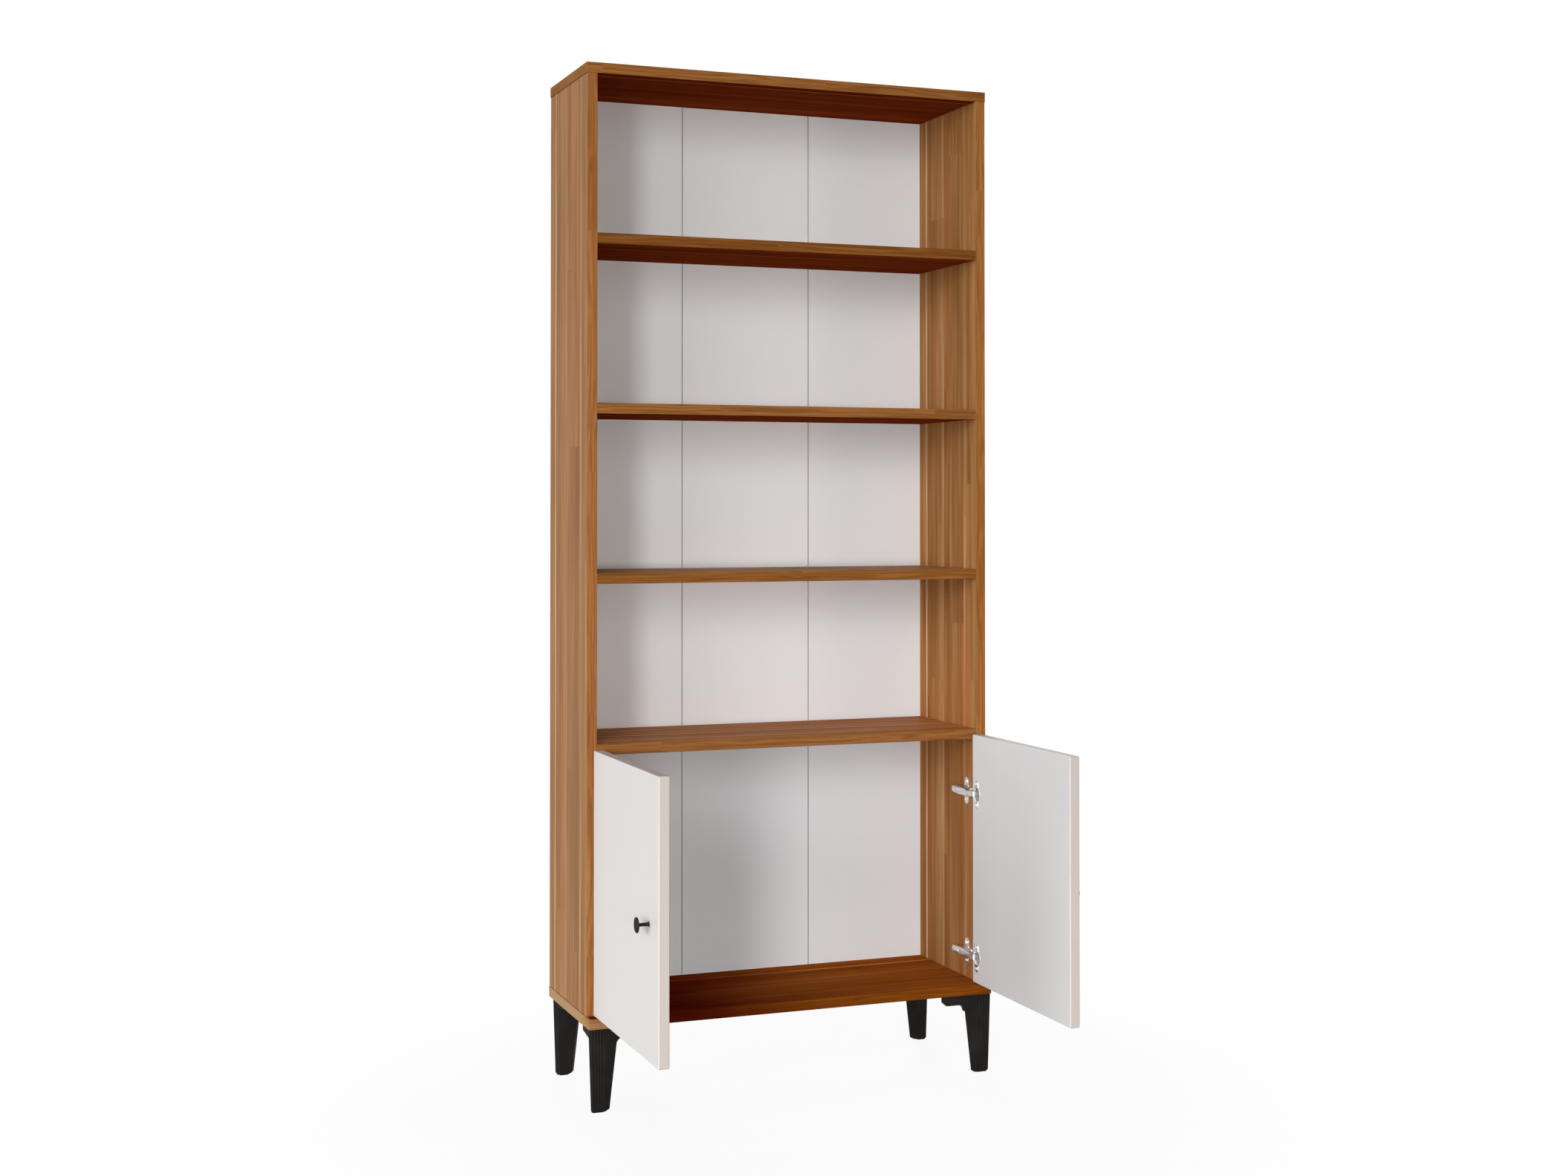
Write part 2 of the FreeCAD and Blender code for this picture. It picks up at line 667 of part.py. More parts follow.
def hinge_plate(name, z):
    plate_x = (-inner_x, -inner_x + size.plate_thick)
    plate_ends = (plate_y - size.plate_before, plate_y + size.plate_behind)
    half_pitch = size.plate_pitch / 2
    base = block(f"{name}_base", plate_x, plate_ends, (z - size.plate_width / 2, z + size.plate_width / 2))
    wing = block(f"{name}_wing", plate_x, (plate_y - size.wing_width / 2, plate_y + size.wing_width / 2),
                 (z - half_pitch - size.wing_land + size.wing_width / 2,
                  z + half_pitch + size.wing_land - size.wing_width / 2))
    ends = [rod(f"{name}_end{step}",
                (plate_x[0], plate_y, z + (half_pitch + size.wing_land - size.wing_width / 2) * step),
                along_x, size.wing_width / 2, size.plate_thick) for step in (-1, 1)]
    rail = block(f"{name}_rail", (plate_x[0], web_x),
                 (plate_ends[0] + size.rail_inset, plate_ends[1] - size.rail_inset),
                 (z - size.rail_width / 2, z + size.rail_width / 2))
    solid = joined(f"{name}_solid", [base, wing, rail] + ends)
    holes = together(f"{name}_holes", [pieces["hinge_plate_screws"], pieces["hinge_rail_screws"]])
    return cut(f"{name}_finished", solid, holes)


middle = Vector(0, 0, 0)
left_pins = [rod(f"Pin_{level}", (pin_x, pin_y, z - pin_half), along_z, size.pin_radius, pin_half * 2)
             for level, z in hinge_z.items()]
left_hinge_pins = piece("left_hinge_pins", together("LeftPins", left_pins))
piece("right_hinge_pins", mirrored("RightPins", left_hinge_pins, along_x, middle))
hinge_makers = {"hinge_cup": hinge_cup, "hinge_arm": hinge_arm, "hinge_plate": hinge_plate}
for level, z in hinge_z.items():
    for part_name, make in hinge_makers.items():
        left_piece = piece(f"left_{level}_{part_name}", make(f"left_{level}_{part_name}", z))
        piece(f"right_{level}_{part_name}",
              mirrored(f"right_{level}_{part_name}", left_piece, along_x, middle))


# Doors and knobs, standing open

knob_out = -along_x
stem_length = size.knob_reach - size.knob_disc
disc_start = door_outer_x - stem_length
knob_foot = taper("KnobFoot", (door_outer_x, knob_y, knob_z), knob_out,
                  size.knob_foot, size.knob_stem, size.knob_flare)
knob_stem = rod("KnobStem", (door_outer_x, knob_y, knob_z), knob_out, size.knob_stem, stem_length)
knob_throat = taper("KnobThroat", (disc_start + size.knob_throat, knob_y, knob_z), knob_out,
                    size.knob_stem, size.knob_neck, size.knob_throat)
knob_disc = rod("KnobDisc", (disc_start, knob_y, knob_z), knob_out, size.knob_head, size.knob_disc)
rounded_disc = rounded("KnobDiscRounded", knob_disc, size.disc_round, round_rims)
knob_solid = joined("KnobSolid", [knob_foot, knob_stem, knob_throat, rounded_disc])
stud = rod("Stud", (door_outer_x + size.stud_bite, knob_y, knob_z), knob_out,
           size.stud_radius, size.stud_bite * 2)
left_stud = piece("left_knob_stud", stud)
left_knob = piece("left_knob", cut("LeftKnob", knob_solid, stud))
piece("right_knob_stud", mirrored("RightStud", left_stud, along_x, middle))
piece("right_knob", mirrored("RightKnob", left_knob, along_x, middle))

door_blank = rounded("DoorRounded", block("DoorBlank", (door_outer_x, door_inner_x),
                                          (door_free_y, door_hinge_y), (door_low_z, door_high_z)),
                     size.door_round)
pockets = [rod(f"Pocket_{level}", (door_inner_x, cup_y, z), -along_x,
               size.cup_radius + size.cup_fit, cup_depth + size.cup_fit) for level, z in hinge_z.items()]
left_door = piece("left_door", cut("LeftDoor", door_blank, together(
    "DoorDrilling", pockets + [stud, pieces["left_cup_screws"]])))
piece("right_door", mirrored("RightDoor", left_door, along_x, middle))


# Recompute, check and write

doc.recompute()
for solid in doc.Objects:
    if "Invalid" in solid.State or "Error" in solid.State:
        raise RuntimeError(f"{solid.Name} failed: {solid.State}")
for name, solid in pieces.items():
    if solid.Shape.isNull() or not solid.Shape.isValid() or not solid.Shape.Solids:
        raise RuntimeError(f"{name} has no valid solid")

os.makedirs("parts", exist_ok=True)
for name, solid in pieces.items():
    solid.Shape.exportStep(f"parts/{name}.step")

for label, values in (
        ("left hinge axis", (pin_x, pin_y)),
        ("side fronts and rear", (front_y, back_y)),
        ("bottom board front", (base_front_y,)),
        ("door face and free edge", (door_outer_x, door_inner_x, door_free_y, door_hinge_y)),
        ("door heights", (door_low_z, door_high_z)),
        ("hinge heights", tuple(hinge_z.values())),
        ("shelf undersides", tuple(shelf_z)),
        ("inner width and heights", (inner_x, floor_z, top_z, crown_z)),
        ("arm inner reach", (web_x + size.arm_thick + size.head_thick,))):
    print(label, [round(float(value), 3) for value in values])
print(len(pieces), "pieces written")
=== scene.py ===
import math

import bmesh
import bpy
import numpy as np
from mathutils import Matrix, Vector


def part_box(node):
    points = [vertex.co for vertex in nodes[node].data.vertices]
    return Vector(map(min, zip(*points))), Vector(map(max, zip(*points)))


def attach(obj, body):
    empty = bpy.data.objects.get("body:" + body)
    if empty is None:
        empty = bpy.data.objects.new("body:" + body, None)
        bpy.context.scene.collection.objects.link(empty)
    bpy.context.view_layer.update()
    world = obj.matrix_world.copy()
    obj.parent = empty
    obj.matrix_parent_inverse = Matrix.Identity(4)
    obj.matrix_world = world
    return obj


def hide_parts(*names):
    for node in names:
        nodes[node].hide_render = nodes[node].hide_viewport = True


# Bookcase with four open bays over a two-door cupboard, dressed in wood-grain foil.
# Metres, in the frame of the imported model: +Z up, the open front towards -Y.

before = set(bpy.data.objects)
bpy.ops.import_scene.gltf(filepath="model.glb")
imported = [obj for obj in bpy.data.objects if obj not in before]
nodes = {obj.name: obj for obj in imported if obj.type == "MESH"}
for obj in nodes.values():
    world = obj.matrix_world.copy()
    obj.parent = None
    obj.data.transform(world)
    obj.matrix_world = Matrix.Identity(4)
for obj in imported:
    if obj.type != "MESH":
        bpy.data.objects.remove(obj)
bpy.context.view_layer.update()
scene = bpy.context.scene
scene.view_settings.view_transform = "Standard"
print("frame loaded:", len(nodes), "nodes")


# Shader maths: values carry operators, everything else is one node call

class Value:
    def __init__(self, shader, socket):
        self.shader = shader
        self.socket = socket

    def math(self, operation, *operands):
        return self.shader.node("ShaderNodeMath", {"operation": operation}, *operands)

    def __add__(self, other):
        return self.math("ADD", self, other)

    def __radd__(self, other):
        return self.math("ADD", other, self)

    def __sub__(self, other):
        return self.math("SUBTRACT", self, other)

    def __rsub__(self, other):
        return self.math("SUBTRACT", other, self)

    def __mul__(self, other):
        return self.math("MULTIPLY", self, other)

    def __rmul__(self, other):
        return self.math("MULTIPLY", other, self)

    def __truediv__(self, other):
        return self.math("DIVIDE", self, other)

    def __gt__(self, other):
        return self.math("GREATER_THAN", self, other)

    def floor(self):
        return self.math("FLOOR", self)

    def fract(self):
        return self.math("FRACT", self)

    def size(self):
        return self.math("ABSOLUTE", self)

    def sine(self):
        return self.math("SINE", self)

    def root(self):
        return self.math("SQRT", self)

    def larger(self, other):
        return self.math("MAXIMUM", self, other)

    def ramp(self, low, high):  # smooth 0 to 1 between two values
        return self.shader.node("ShaderNodeMapRange", {"interpolation_type": "SMOOTHSTEP"}, self, low, high)


class Shader:
    def __init__(self, owner):  # a name for a new material, or the world
        self.material = bpy.data.materials.new(owner) if isinstance(owner, str) else owner
        self.material.use_nodes = True
        self.tree = self.material.node_tree
        self.tree.nodes.clear()

    def make(self, kind, settings, values, named):
        made = self.tree.nodes.new(kind)
        for key, setting in settings.items():
            if key == "stops":
                self.setStops(made.color_ramp, setting)
            elif key == "steps":
                made.color_ramp.interpolation = "CONSTANT"
                self.setStops(made.color_ramp, [(place, (tone,) * 3) for place, tone in setting])
            else:
                setattr(made, key, setting)
        for key, value in list(enumerate(values)) + list(named.items()):
            self.feed(made.inputs[key], value)
        return made

    def setStops(self, colorRamp, stops):
        while len(colorRamp.elements) < len(stops):
            colorRamp.elements.new(0.5)
        for element, (place, colour) in zip(colorRamp.elements, stops):
            element.position = place
            element.color = (*colour, 1)

    def feed(self, socket, value):
        if isinstance(value, Value):
            self.tree.links.new(value.socket, socket)
        elif hasattr(socket.default_value, "__len__") and len(socket.default_value) == 4:
            socket.default_value = (*value, 1)
        else:
            socket.default_value = value

    def node(self, kind, settings=None, *values, out=0, **named):
        return Value(self, self.make(kind, settings or {}, values, named).outputs[out])

    def coordinate(self, source):  # the object's own place or normal, as a vector
        return self.node("ShaderNodeTexCoord", out=source)

    def axes(self, vector):  # a vector's three values
        split = self.make("ShaderNodeSeparateXYZ", {}, (vector,), {})
        return [Value(self, socket) for socket in split.outputs]

    def vector(self, x, y, z):
        return self.node("ShaderNodeCombineXYZ", None, x, y, z)

    def noise(self, place, scale=1.0, detail=2.0, roughness=0.5):
        return self.node("ShaderNodeTexNoise", None, Vector=place, Scale=scale, Detail=detail,
                         Roughness=roughness)

    def stretched(self, place, scales, detail=2.0, roughness=0.5):  # noise with a scale for each axis
        x, y, z = [value * scale for value, scale in zip(self.axes(place), scales)]
        return self.noise(self.vector(x, y, z), 1.0, detail, roughness)

    def grain(self, width, length, depth, across, along, detail=2.0, roughness=0.5):  # noise along a grain
        return self.noise(self.vector(width * across, length * along, depth), 1.0, detail, roughness)

    def chance(self, x, y):  # one random number for each pair of whole numbers
        return self.node("ShaderNodeTexWhiteNoise", {"noise_dimensions": "2D"}, Vector=self.vector(x, y, 0.0))

    def colours(self, stops, value):
        return self.node("ShaderNodeValToRGB", {"stops": stops}, value)

    def mix(self, share, first, second):
        made = self.make("ShaderNodeMix", {"data_type": "RGBA"}, (), {})
        for socket, value in zip([s for s in made.inputs if s.enabled], (share, first, second)):
            self.feed(socket, value)
        return Value(self, [s for s in made.outputs if s.enabled][0])

    def blend(self, share, first, second):  # plain numbers or values
        return first + (second - first) * share

    def scaled(self, colour, amount):  # brighten or darken a colour by a value
        made = self.make("ShaderNodeVectorMath", {"operation": "SCALE"}, (), {})
        self.feed(made.inputs[0], colour)
        self.feed(made.inputs["Scale"], amount)
        return Value(self, made.outputs[0])

    def tinted(self, colour, tint):  # multiply two colours
        return self.node("ShaderNodeVectorMath", {"operation": "MULTIPLY"}, colour, tint)

    def bump(self, height, strength, distance):
        return self.node("ShaderNodeBump", None, Height=height, Strength=strength, Distance=distance)

    def output(self, surface):
        isWorld = isinstance(self.material, bpy.types.World)
        made = self.make("ShaderNodeOutputWorld" if isWorld else "ShaderNodeOutputMaterial", {}, (), {})
        self.tree.links.new(surface.socket, made.inputs["Surface"])

    def finish(self, **sockets):
        named = {key.replace("_", " "): value for key, value in sockets.items()}
        self.output(self.node("ShaderNodeBsdfPrincipled", None, **named))
        return self.material


def dress(material, *names):
    for name in names:
        slots = nodes[name].data.materials
        slots.clear()
        slots.append(material)


# Wood-grain foil: glued staves of many tones, with thin pale and dark lines, streaks and pores

squareOn = 0.7  # a surface faces along an axis when its normal has more than this of it
foil = {
    "repeat": 0.245,  # one printed repeat across the grain
    "staves": (  # start across the repeat, tone there and tone at the far edge, from dark 0 to cream 1
        (0.0, 0.57, 0.50), (0.143, 0.98, 0.92), (0.174, 0.40, 0.44), (0.24, 0.45, 0.76), (0.475, 0.48, 0.50),
        (0.57, 0.57, 0.42), (0.812, 0.72, 0.62), (0.872, 0.47, 0.50), (0.945, 0.57, 0.62)),
    "seam": 0.004,  # share of the repeat in which one stave's tone turns into the next
    "wander": 0.0035,  # how far the edges of the staves stray
    "jointPitch": 0.87,  # between the butt joints along a stave
    "bandPitch": 0.41,  # between the butt joints along an edge band
    "bandScale": 0.8, "endScale": 0.3,  # of the pattern on the edge bands and on the ends
    "tones": (
        (0.0, (0.1356, 0.052, 0.0147)), (0.3, (0.2316, 0.0994, 0.0294)), (0.5, (0.3277, 0.1514, 0.0475)),
        (0.7, (0.4124, 0.209, 0.0791)), (0.9, (0.5424, 0.322, 0.1525)), (1.0, (0.6441, 0.4181, 0.226))),
    "bandTones": (
        (0.15, (0.1751, 0.061, 0.0136)), (0.5, (0.3198, 0.122, 0.0305)), (0.85, (0.4463, 0.2034, 0.0655))),
    "layers": {  # noises: cycles per metre across and along the grain, detail, roughness
        "wander": (9.0, 1.1, 1.0, 0.5), "streaks": (75.0, 3.2, 3.0, 0.55), "fibres": (330.0, 4.0, 4.0, 0.6),
        "curl": (24.0, 2.6, 2.0, 0.5), "pores": (2100.0, 48.0, 2.0, 0.5), "warmth": (46.0, 0.9, 2.0, 0.5),
        "bandCurl": (70.0, 4.2, 2.0, 0.5)},
    "rings": (1150.0, 26.0), "bandRings": (900.0, 30.0),  # radians per metre across, and for a full curl
    "toneShift": {"patch": 0.11, "streaks": 0.82, "fibres": 0.42, "rings": 0.018},
    "bandShift": {"patch": 0.10, "fibres": 0.7, "rings": 0.11},
    "poreRange": (0.58, 0.72), "poreShade": 0.14,
    "warmRange": (0.42, 0.62), "warmShare": 0.8, "warmTint": (1.08, 0.92, 0.84),
    # the underside tint darkens faces that look down: painted shade
    "underside": (0.63, 0.25, 0.18), "endShade": 0.76,
    "relief": {"fibres": 0.4, "rings": 0.05, "pores": 0.7}, "bump": (0.10, 0.0005),
    "roughness": 0.48, "fibreRoughness": 0.16, "poreRoughness": 0.10,
    "apart": {  # factors and seeds that only keep the random draws apart
        "joint": 57.0, "jointStart": 7.0, "patch": 31.0, "patchSeed": 2.0, "streakPlank": 3.0,
        "streakStave": 20.0, "fibre": 40.0, "curl": 5.0, "warmSeed": 8.0, "bandStart": 0.37, "bandCurl": 4.0,
        "bandSeed": 5.0, "paintedShadow": 43.0, "paintedShadowSeed": 9.0},
}
paintedDoorShadow = {  # painted shadow of the open left door: dark planks towards the left end of a board, paling to the right, by x
    "start": -0.372, "bandStart": -0.33, "dark": -0.21, "pale": 0.11, "stagger": 0.10,
    "tint": (0.36, 0.13, 0.27), "leadTint": (0.88, 1.12, 1.75),  # the lead is the band before its start, outside the painted shadow
}


def woodFoil(name, along, shift, seed, bandTint, gloss, tint, paintedShadow=None):
    # stave tones repeat across the grain; patches, streaks, fibres and rings shift them on a ramp of browns
    layers, apart = foil["layers"], foil["apart"]
    sh = Shader(name)
    x, y, z = sh.axes(sh.coordinate("Object"))
    nx, ny, nz = sh.axes(sh.coordinate("Normal"))
    band = ny.size() > squareOn
    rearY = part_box("left_side")[1].y
    if along == "z":
        length = z
        width = sh.blend(band, rearY - y, x * foil["bandScale"])
    else:
        end = nx.size() > squareOn
        length = sh.blend(end, x, y)
        width = sh.blend(end, sh.blend(band, rearY - y, z * foil["bandScale"]), z * foil["endScale"])
    width = width + (sh.grain(width, length, seed, *layers["wander"]) - 0.5) * foil["wander"]
    place = (width / foil["repeat"] + shift).fract()
    starts = [start for start, first, last in foil["staves"]]
    steps = [(start, index / len(starts)) for index, start in enumerate(starts)]
    stops = [(spot, (tone,) * 3) for (start, first, last), after in zip(foil["staves"], starts[1:] + [1.0])
             for spot, tone in ((start, first), (after - foil["seam"], last))]
    stave = sh.node("ShaderNodeValToRGB", {"steps": steps}, place)
    tone = sh.colours(stops, place)
    jointStart = sh.chance(stave * apart["joint"], seed) * apart["jointStart"]
    plank = (length / foil["jointPitch"] + jointStart).floor()
    patch = sh.chance(plank + stave * apart["patch"], seed + apart["patchSeed"]) - 0.5

    streakDepth = plank * apart["streakPlank"] + stave * apart["streakStave"]
    streaks = sh.grain(width, length, streakDepth, *layers["streaks"]) - 0.5
    fibres = sh.grain(width, length, stave * apart["fibre"], *layers["fibres"])
    curl = sh.grain(width, length, plank * apart["curl"], *layers["curl"])
    ringPitch, ringCurl = foil["rings"]
    rings = (width * ringPitch + curl * ringCurl).sine()
    pores = sh.grain(width, length, seed, *layers["pores"]).ramp(*foil["poreRange"])
    by = foil["toneShift"]
    mood = tone + patch * by["patch"] + streaks * by["streaks"]
    mood = mood + (fibres - 0.5) * by["fibres"] + rings * by["rings"]
    face = sh.colours(foil["tones"], mood)
    warm = sh.grain(width, length, seed + apart["warmSeed"], *layers["warmth"]).ramp(*foil["warmRange"])
    face = sh.mix(warm * foil["warmShare"], face, sh.tinted(face, foil["warmTint"]))
    if along == "x":
        face = sh.mix(end, face, sh.scaled(face, foil["endShade"]))
    # a tint on each board's face or top; on the cabinet shelf it is painted light, on the bottom board
    # painted shade
    shown = nz if along == "x" else nx.size()
    face = sh.mix(shown > squareOn, face, sh.tinted(face, tint))
    # faces that look down get a darker, redder tint: painted shade under the boards
    face = sh.mix((0.0 - nz) > squareOn, face, sh.tinted(face, foil["underside"]))

    bandPlank = (length / foil["bandPitch"] + seed * apart["bandStart"]).floor()
    bandCurl = sh.grain(width, length, bandPlank * apart["bandCurl"] + seed, *layers["bandCurl"])
    ringPitch, ringCurl = foil["bandRings"]
    bandRings = (width * ringPitch + bandCurl * ringCurl).sine()
    bandPatch = sh.chance(bandPlank, seed + apart["bandSeed"]) - 0.5
    by = foil["bandShift"]
    bandMood = 0.5 + bandPatch * by["patch"] + (fibres - 0.5) * by["fibres"] + bandRings * by["rings"]
    edge = sh.colours(foil["bandTones"], bandMood)
    colour = sh.mix(band, face, sh.tinted(edge, bandTint))

    if paintedShadow:  # painted shadow of the open left door: each stave turns from dark to pale along x at its own place
        stagger = (sh.chance(stave * apart["paintedShadow"], seed + apart["paintedShadowSeed"]) - 0.5) * paintedShadow["stagger"]
        begun = x > sh.blend(band, paintedShadow["start"], paintedShadow["bandStart"])
        dark = begun * (1.0 - (x + stagger).ramp(paintedShadow["dark"], paintedShadow["pale"]))
        colour = sh.mix(dark, colour, sh.tinted(colour, paintedShadow["tint"]))
        # the band before the painted shadow takes the lead tint, its colour out of the shade
        colour = sh.mix(band * (1.0 - begun), colour, sh.tinted(edge, paintedShadow["leadTint"]))
    by = foil["relief"]
    height = fibres * by["fibres"] + rings * by["rings"] - pores * by["pores"]
    roughness = foil["roughness"] + (fibres - 0.5) * foil["fibreRoughness"] + pores * foil["poreRoughness"]
    return sh.finish(Base_Color=sh.scaled(colour, 1.0 - pores * foil["poreShade"]),
                     Normal=sh.bump(height, *foil["bump"]), Roughness=roughness, Specular_IOR_Level=gloss)


# top tints: warm is painted light, dark is painted shade, plain leaves the colour
plain, warm, dark = (1.0, 1.0, 1.0), (1.30, 1.10, 0.95), (0.92, 0.55, 0.27)
boards = {  # grain, start of the pattern, random seed, tint of the edge band, gloss, tint of the face or top, painted door shadow; the dark top tint is painted shade, the warm one painted light
    "left_side": ("z", 0.0, 1.0, (0.94, 0.935, 1.0), 0.08, plain),
    "right_side": ("z", 0.03, 3.0, (1.03, 1.03, 1.06), 0.02, plain),
    "top_panel": ("x", 0.266, 5.0, (0.85, 0.85, 0.85), 0.0, plain),
    # the bottom board's dark band tint, dark top tint and door shadow are painted shade
    "bottom_panel": ("x", 0.973, 6.0, (0.58, 0.41, 0.15), 0.0, dark, paintedDoorShadow),
    # the warm top tint on the cabinet shelf is painted light from above
    "cabinet_shelf": ("x", 0.62, 7.0, (0.82, 0.84, 0.90), 0.012, warm),
    "lower_shelf": ("x", 0.24, 8.0, (0.72, 0.69, 0.60), 0.02, plain),
    "middle_shelf": ("x", 0.83, 9.0, (0.84, 0.86, 0.92), 0.0, plain),
    "upper_shelf": ("x", 0.49, 11.0, (0.64, 0.60, 0.50), 0.0, plain),
}
for name, look in boards.items():
    dress(woodFoil("foil_" + name, *look), name)
print("boards dressed")


# Doors: off-white foil, a little cooler inside, with warmer edge bands

doorFinish = {
    "face": (0.7741, 0.7481, 0.7322), "inside": (0.72, 0.712, 0.726), "band": (0.5819, 0.5254, 0.4915),
    "insideFrom": 0.5, "bandRange": (0.55, 0.8),  # of the normal across the door
    "cloud": (5.0, 3.0), "peel": (420.0, 2.0),  # noises: scale, detail
    "streak": (3.0, 90.0, 1.2),  # depth, cycles per metre across and along
    "shade": 0.985, "cloudShade": 0.03, "streakShade": 0.02, "bump": (0.06, 0.0004),
    "roughness": 0.42, "cloudRoughness": 0.08, "gloss": 0.2,
}


def doorFoil(name, inward):
    # one colour for each side, clouded and streaked by a few hundredths, with a fine orange-peel bump
    look = doorFinish
    sh = Shader(name + "_foil")
    place = sh.coordinate("Object")
    x, y, z = sh.axes(place)
    nx, ny, nz = sh.axes(sh.coordinate("Normal"))
    cloud = sh.noise(place, *look["cloud"]) - 0.5
    streak = sh.grain(y, z, *look["streak"]) - 0.5
    peel = sh.noise(place, *look["peel"])
    face = sh.mix((nx * inward) > look["insideFrom"], look["face"], look["inside"])
    colour = sh.mix(nx.size().ramp(*look["bandRange"]), look["band"], face)
    shade = look["shade"] + cloud * look["cloudShade"] + streak * look["streakShade"]
    roughness = look["roughness"] + cloud * look["cloudRoughness"]
    return sh.finish(Base_Color=sh.scaled(colour, shade), Normal=sh.bump(peel, *look["bump"]),
                     Roughness=roughness, Specular_IOR_Level=look["gloss"])


for name, inward in (("left_door", 1.0), ("right_door", -1.0)):
    dress(doorFoil(name, inward), name)


# Back: pale lacquer inside, raw brown hardboard behind, paper tape over the joints

backFinish = {
    "lacquer": (0.767, 0.789, 0.812), "shade": 0.98, "cloudShade": 0.04,
    "jointShadeRange": (0.0007, 0.0017), "jointShade": 0.2,  # painted shade along the joints, widening the gaps' shadow
    "raw": ((0.25, (0.15, 0.08, 0.04)), (0.75, (0.2712, 0.1525, 0.0791))), "rawRange": (-0.2, 0.3),
    "rawFibre": 0.7, "rawCloud": 0.3,
    "cloud": (6.0, 3.0), "fibre": ((260.0, 0.0, 260.0), 4.0, 0.7),  # noises: scale, detail, roughness
    "bump": (0.05, 0.0005),
    "roughness": 0.55, "rawRoughness": 0.25, "cloudRoughness": 0.06,
}


def backBoard():
    # the way a surface faces chooses lacquer or brown fibres; close to a joint the lacquer gets painted shade
    look = backFinish
    sh = Shader("back_board")
    place = sh.coordinate("Object")
    x, y, z = sh.axes(place)
    nx, ny, nz = sh.axes(sh.coordinate("Normal"))
    cloud = sh.noise(place, *look["cloud"])
    fibre = sh.stretched(place, *look["fibre"])
    raw = ny.ramp(*look["rawRange"])
    jointX = (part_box("back_middle")[1].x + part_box("back_right")[0].x) / 2
    # full is 1 away from the joints and falls to 0 at them, where the shade is painted
    full = (x.size() - jointX).size().ramp(*look["jointShadeRange"])
    shade = look["shade"] + (cloud - 0.5) * look["cloudShade"] - (1.0 - full) * look["jointShade"]
    brown = sh.colours(look["raw"], fibre * look["rawFibre"] + cloud * look["rawCloud"])
    roughness = look["roughness"] + raw * look["rawRoughness"] + (cloud - 0.5) * look["cloudRoughness"]
    return sh.finish(Base_Color=sh.mix(raw, sh.scaled(look["lacquer"], shade), brown),
                     Normal=sh.bump(fibre, *look["bump"]), Roughness=roughness)


def fibrous(name, look):
    # one fine noise, drawn out along the fibres, runs between two tones and lifts the surface
    sh = Shader(name)
    fibre = sh.stretched(sh.coordinate("Object"), *look["fibre"])
    return sh.finish(Base_Color=sh.colours(look["tones"], fibre), Normal=sh.bump(fibre, *look["bump"]),
                     Roughness=look["roughness"])


tapePaper = {
    "fibre": ((300.0, 0.0, 900.0), 3.0), "tones": ((0.2, (0.42, 0.33, 0.22)), (0.8, (0.55, 0.45, 0.31))),
    "bump": (0.2, 0.0003), "roughness": 0.8,
}
dowelBeech = {
    "fibre": ((30.0, 800.0, 800.0), 3.0), "tones": ((0.2, (0.45, 0.29, 0.15)), (0.8, (0.62, 0.44, 0.26))),
    "bump": (0.1, 0.0003), "roughness": 0.6,
}
dress(backBoard(), "back_left", "back_middle", "back_right")
dress(fibrous("joint_tape", tapePaper), "back_joint_tapes")
dress(fibrous("dowel_beech", dowelBeech), "wooden_dowels")
print("doors, back and dowels dressed")


# Legs: black moulded plastic

legFinish = {
    "colour": (0.0141, 0.013, 0.0122), "worn": (0.0209, 0.0195, 0.0185), "wornRange": (0.35, 0.75),
    "cloud": (22.0, 3.0), "grain": (900.0, 3.0, 0.6), "bump": (0.04, 0.0004),
    "roughness": 0.50, "grainRoughness": 0.10, "gloss": 0.015,
}


def legPlastic():
    # clouds mix the plain and the worn black; a fine moulded grain gives the bump
    look = legFinish
    sh = Shader("leg_plastic")
    place = sh.coordinate("Object")
    grain = sh.noise(place, *look["grain"])
    cloud = sh.noise(place, *look["cloud"])
    return sh.finish(Base_Color=sh.mix(cloud.ramp(*look["wornRange"]), look["colour"], look["worn"]),
                     Normal=sh.bump(grain, *look["bump"]), Specular_IOR_Level=look["gloss"],
                     Roughness=look["roughness"] + (grain - 0.5) * look["grainRoughness"])


dress(legPlastic(), "front_left_leg", "front_right_leg", "rear_left_leg", "rear_right_leg")


# Metal: nickel hinges, zinc screws, dark knobs

metalTexture = {
    "cloud": (140.0, 3.0), "cloudRange": (0.3, 0.75), "bump": (0.05, 0.0002),
    "cloudRoughness": 0.14, "lineRoughness": 0.1,
}
metals = {  # two colours, roughness, brush lines per metre along each axis, share reflected at a slant
    "hinge_nickel": ((0.86, 0.86, 0.85), (0.78, 0.78, 0.775), 0.33, (300.0, 40.0, 900.0), 1.0),
    "screw_zinc": ((0.84, 0.85, 0.86), (0.74, 0.745, 0.74), 0.30, (700.0, 700.0, 700.0), 1.0),
    "knob_bronze": ((0.035, 0.027, 0.022), (0.022, 0.018, 0.016), 0.36, (600.0, 600.0, 600.0), 0.5),
}


def metal(name, colour, second, roughness, brush, slant):
    # clouds mix the two colours; clouds and brush lines vary the roughness
    look = metalTexture
    sh = Shader(name)
    place = sh.coordinate("Object")
    cloud = sh.noise(place, *look["cloud"])
    lines = sh.stretched(place, brush)
    varied = roughness + (cloud - 0.5) * look["cloudRoughness"] + (lines - 0.5) * look["lineRoughness"]
    return sh.finish(Base_Color=sh.mix(cloud.ramp(*look["cloudRange"]), colour, second), Metallic=1.0,
                     Roughness=varied, Normal=sh.bump(lines, *look["bump"]), Specular_Tint=(slant,) * 3)


